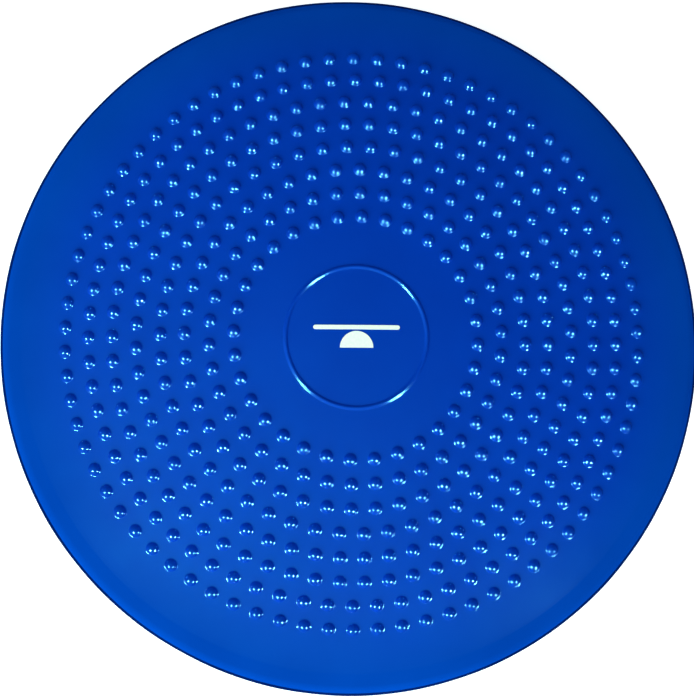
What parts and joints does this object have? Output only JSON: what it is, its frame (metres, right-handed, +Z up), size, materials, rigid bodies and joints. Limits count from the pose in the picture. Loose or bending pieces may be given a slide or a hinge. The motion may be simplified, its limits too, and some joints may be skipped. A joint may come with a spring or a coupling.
{
  "type": "inflatable balance disc",
  "caption": "Round air-filled balance disc with two domed soft skins welded at the rim, rings of small massage nubs on top and a needle valve underneath.",
  "frame": {"origin": "centre of the flat patch underneath that the disc rests on", "axes": "+Z up through the crown; +X from the middle towards the valve underneath; +Y completes the frame and is the rock hinge's side"},
  "size_m": [0.3299, 0.33, 0.0691],
  "materials": {
    "upper_skin": "soft royal blue PVC, satin gloss",
    "lower_skin": "soft royal blue PVC, satin gloss",
    "seam": "welded PVC edge, satin",
    "ink": "white screen print",
    "valve_rubber": "dark blue rubber, matte",
    "plug": "grey moulded plastic"
  },
  "bodies": {
    "base": {"bottom_panel": "lower_skin", "lower_shoulder": "lower_skin", "valve_boss": "lower_skin", "valve_core": "valve_rubber"},
    "rim": {"lower_rim": "lower_skin", "rim_seam": "seam", "upper_rim": "upper_skin", "upper_shoulder": "upper_skin"},
    "top": {"top_panel": "upper_skin", "printed_mark": "ink"},
    "plug": {"valve_plug": "plug"}
  },
  "joints": [
    {"name": "rock", "type": "hinge", "parent": "base", "child": "rim", "pos_m": [0, 0, 0.03289], "axis": [1, 0, 0], "range_deg": [-6, 6], "stiffness_Nm_per_rad": 120, "deforming": ["lower_shoulder"]},
    {"name": "press", "type": "slide", "parent": "rim", "child": "top", "axis": [0, 0, -1], "range_m": [0, 0.012], "stiffness_N_per_m": 40000, "deforming": ["upper_shoulder"]},
    {"name": "plug_pull", "type": "slide", "parent": "base", "child": "plug", "axis": [0.2294, 0, -0.9733], "range_m": [0, 0.006]}
  ]
}
